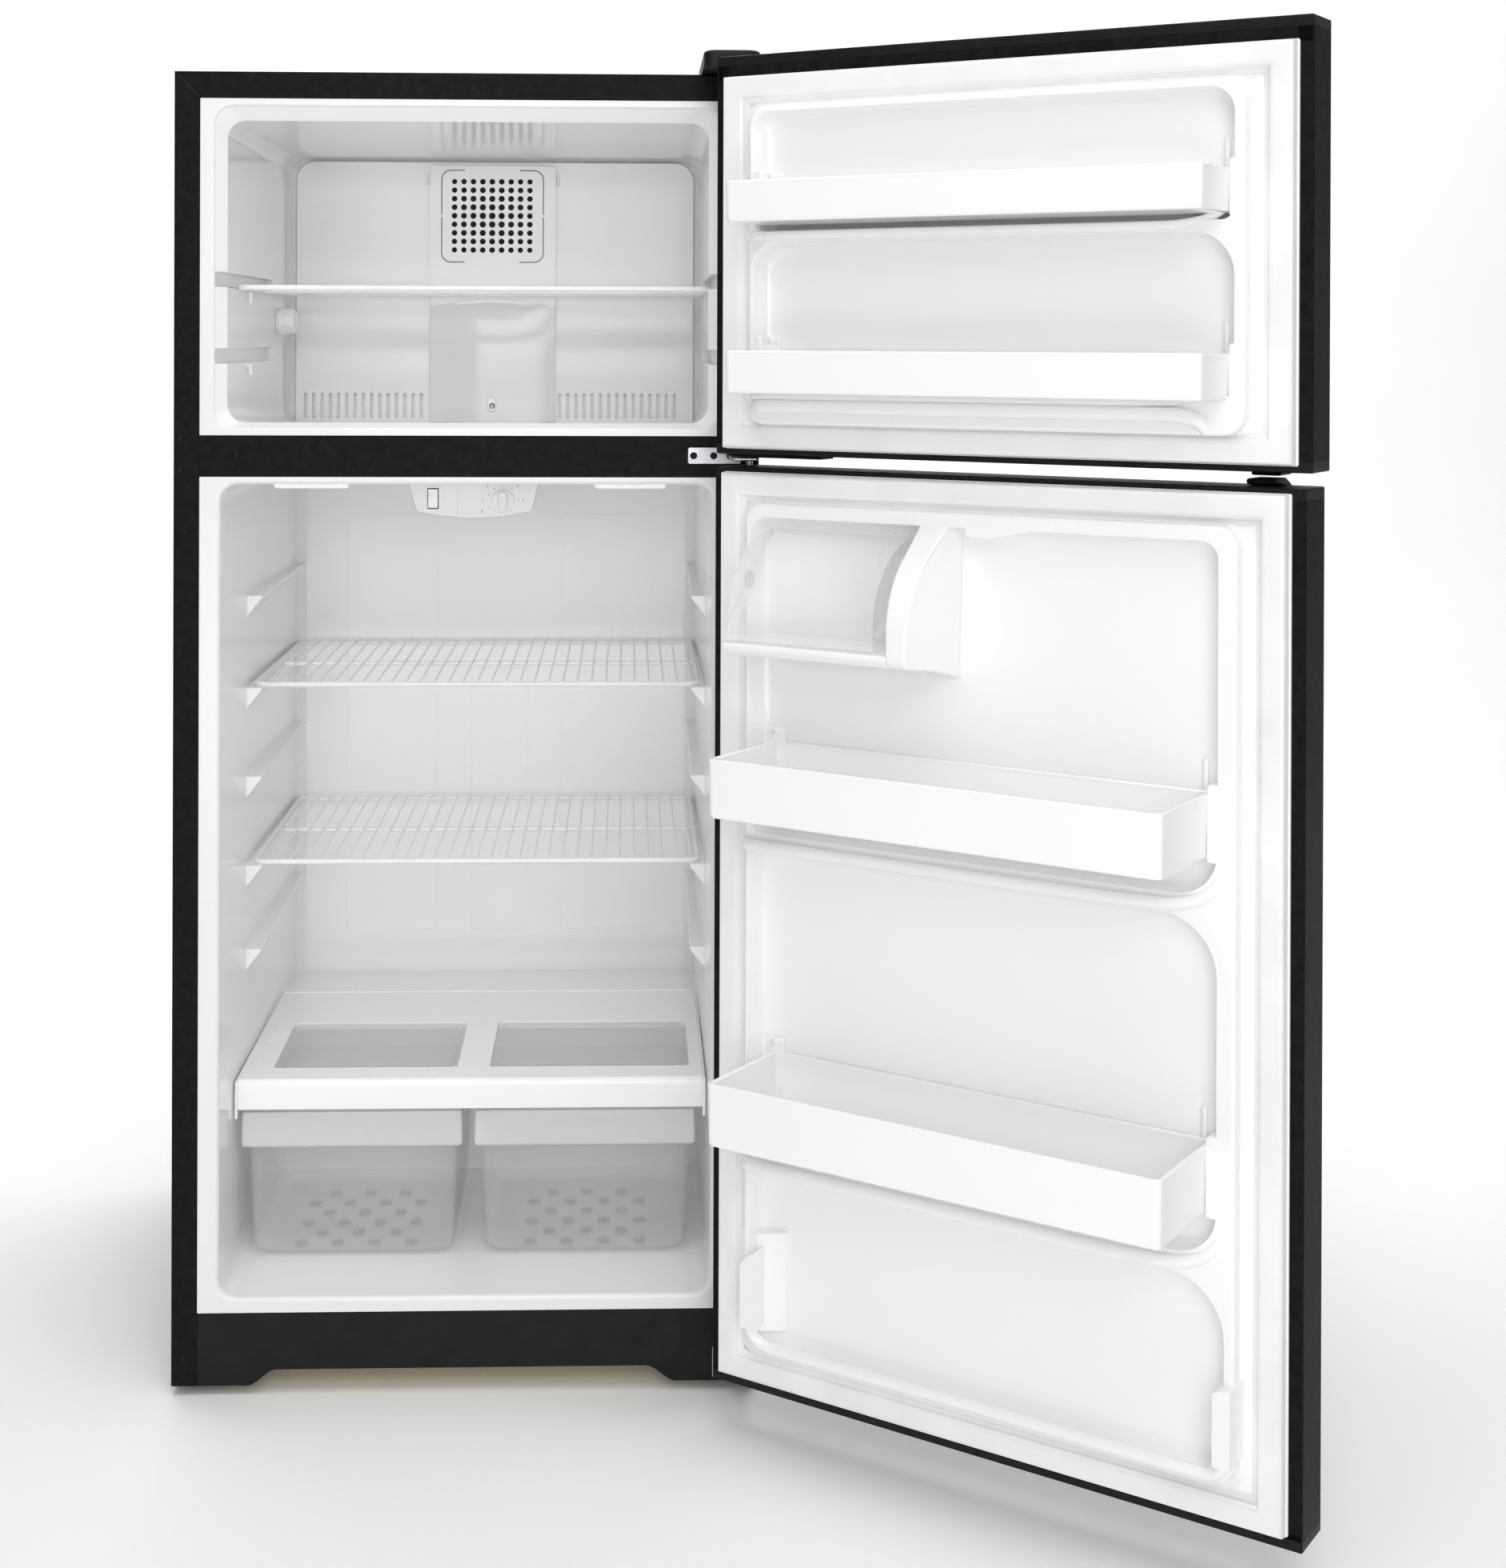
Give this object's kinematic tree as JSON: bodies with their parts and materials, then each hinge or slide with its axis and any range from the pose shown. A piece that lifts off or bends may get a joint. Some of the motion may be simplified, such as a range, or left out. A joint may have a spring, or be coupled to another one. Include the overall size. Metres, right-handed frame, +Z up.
{
  "type": "top freezer refrigerator",
  "caption": "Upright top freezer refrigerator with textured black doors standing open, wire shelves, clear crisper drawers and white door bins.",
  "frame": {"origin": "middle of the base tray's underside, in the plane of the cabinet's lower edge", "axes": "+Z up, -Y out of the front, +X towards the hinge side"},
  "size_m": [1.2764, 1.2888, 1.628],
  "materials": {
    "black_steel": "pebble-textured black enamel",
    "black_plastic": "fine-grained black plastic",
    "white_plastic": "satin white formed plastic",
    "clear_plastic": "clear moulded plastic",
    "bulb_glass": "frosted glass",
    "coated_wire": "white plastic-coated steel wire",
    "white_gasket": "soft white magnetic seal",
    "black_rubber": "matt black",
    "zinc_steel": "zinc plated",
    "aluminium": "satin",
    "copper": "bright drawn copper",
    "foam": "yellow insulating foam",
    "fibre_board": "black fibre board",
    "compressor_enamel": "gloss black enamel"
  },
  "bodies": {
    "cabinet": {"cabinet_shell": "black_steel", "mullion_bar": "black_steel", "toe_grille": "black_plastic", "top_hinge_cover": "black_plastic", "drain_pan": "black_plastic", "freezer_liner": "white_plastic", "fridge_liner": "white_plastic", "evaporator_cover": "white_plastic", "crisper_cover_frame": "white_plastic", "control_housing": "white_plastic", "crisper_cover_panel_left": "clear_plastic", "crisper_cover_panel_right": "clear_plastic", "lamp_bulb": "bulb_glass", "back_panel": "zinc_steel", "base_tray": "zinc_steel", "base_rail_left": "zinc_steel", "base_rail_right": "zinc_steel", "condenser_fan_motor": "zinc_steel", "evaporator_fan_motor": "zinc_steel", "top_hinge": "zinc_steel", "centre_hinge": "zinc_steel", "bottom_hinge": "zinc_steel", "evaporator_coil": "aluminium", "condenser_coil": "copper", "foam_insulation": "foam", "rear_cover": "fibre_board", "compressor": "compressor_enamel"},
    "freezer_door": {"freezer_door_shell": "black_steel", "freezer_door_top_cap": "black_plastic", "freezer_door_bottom_cap": "black_plastic", "freezer_door_handle": "black_plastic", "freezer_door_liner": "white_plastic", "freezer_door_bin_upper": "white_plastic", "freezer_door_bin_lower": "white_plastic", "freezer_door_gasket": "white_gasket", "freezer_door_foam": "foam"},
    "fridge_door": {"fridge_door_shell": "black_steel", "fridge_door_top_cap": "black_plastic", "fridge_door_bottom_cap": "black_plastic", "fridge_door_handle": "black_plastic", "fridge_door_liner": "white_plastic", "fridge_door_bin_upper": "white_plastic", "fridge_door_bin_lower": "white_plastic", "fridge_door_gasket": "white_gasket", "fridge_door_foam": "foam"},
    "condenser_fan": {"condenser_fan": "black_plastic"},
    "evaporator_fan": {"evaporator_fan": "black_plastic"},
    "roller_left": {"roller_left": "black_plastic"},
    "roller_right": {"roller_right": "black_plastic"},
    "temperature_knob": {"temperature_knob": "white_plastic"},
    "light_switch": {"light_switch": "white_plastic"},
    "freezer_dial": {"freezer_dial": "white_plastic"},
    "crisper_drawer_left": {"crisper_drawer_left": "clear_plastic"},
    "crisper_drawer_right": {"crisper_drawer_right": "clear_plastic"},
    "dairy_cover": {"dairy_cover": "clear_plastic"},
    "freezer_shelf": {"freezer_shelf": "coated_wire"},
    "fridge_shelf_upper": {"fridge_shelf_upper": "coated_wire"},
    "fridge_shelf_lower": {"fridge_shelf_lower": "coated_wire"},
    "levelling_leg_left": {"levelling_leg_left": "black_rubber"},
    "levelling_leg_right": {"levelling_leg_right": "black_rubber"}
  },
  "joints": [
    {"name": "freezer_door_hinge", "type": "hinge", "parent": "cabinet", "child": "freezer_door", "pos_m": [0.3403, -0.4226, 1.37], "axis": [0, 0, 1], "range_deg": [-146.05, 14]},
    {"name": "fridge_door_hinge", "type": "hinge", "parent": "cabinet", "child": "fridge_door", "pos_m": [0.3403, -0.4226, 0.58], "axis": [0, 0, 1], "range_deg": [-144.68, 15]},
    {"name": "dairy_cover_hinge", "type": "hinge", "parent": "fridge_door", "child": "dairy_cover", "pos_m": [0.43313, -0.5749, 1.06], "axis": [-0.8159, 0.5781, 0], "range_deg": [0, 75]},
    {"name": "freezer_shelf_slide", "type": "slide", "parent": "cabinet", "child": "freezer_shelf", "axis": [0, -1, 0], "range_m": [0, 0.12]},
    {"name": "fridge_shelf_upper_slide", "type": "slide", "parent": "cabinet", "child": "fridge_shelf_upper", "axis": [0, -1, 0], "range_m": [0, 0.15]},
    {"name": "fridge_shelf_lower_slide", "type": "slide", "parent": "cabinet", "child": "fridge_shelf_lower", "axis": [0, -1, 0], "range_m": [0, 0.15]},
    {"name": "crisper_left_slide", "type": "slide", "parent": "cabinet", "child": "crisper_drawer_left", "axis": [0, -1, 0], "range_m": [0, 0.27]},
    {"name": "crisper_right_slide", "type": "slide", "parent": "cabinet", "child": "crisper_drawer_right", "axis": [0, -1, 0], "range_m": [0, 0.27]},
    {"name": "temperature_knob_turn", "type": "hinge", "parent": "cabinet", "child": "temperature_knob", "pos_m": [0.0355, -0.213, 1.064], "axis": [0, -1, 0], "range_deg": [-140, 140]},
    {"name": "freezer_dial_turn", "type": "hinge", "parent": "cabinet", "child": "freezer_dial", "pos_m": [-0.284, 0.097, 1.296], "axis": [1, 0, 0], "range_deg": [-120, 120]},
    {"name": "light_switch_rock", "type": "hinge", "parent": "cabinet", "child": "light_switch", "pos_m": [-0.058, -0.207, 1.067], "axis": [1, 0, 0], "range_deg": [-6, 6], "stiffness_Nm_per_rad": 0.02},
    {"name": "evaporator_fan_spin", "type": "hinge", "parent": "cabinet", "child": "evaporator_fan", "pos_m": [-0.0025, 0.238, 1.452], "axis": [0, 1, 0], "continuous": true},
    {"name": "condenser_fan_spin", "type": "hinge", "parent": "cabinet", "child": "condenser_fan", "pos_m": [-0.036, 0.24, 0.11], "axis": [1, 0, 0], "continuous": true},
    {"name": "roller_left_roll", "type": "hinge", "parent": "cabinet", "child": "roller_left", "pos_m": [-0.319, 0.285, 0.005], "axis": [1, 0, 0], "continuous": true},
    {"name": "roller_right_roll", "type": "hinge", "parent": "cabinet", "child": "roller_right", "pos_m": [0.319, 0.285, 0.005], "axis": [1, 0, 0], "continuous": true},
    {"name": "levelling_leg_left_turn", "type": "hinge", "parent": "cabinet", "child": "levelling_leg_left", "pos_m": [-0.319, -0.3, 0.01], "axis": [0, 0, 1], "continuous": true},
    {"name": "levelling_leg_right_turn", "type": "hinge", "parent": "cabinet", "child": "levelling_leg_right", "pos_m": [0.319, -0.3, 0.01], "axis": [0, 0, 1], "continuous": true}
  ]
}
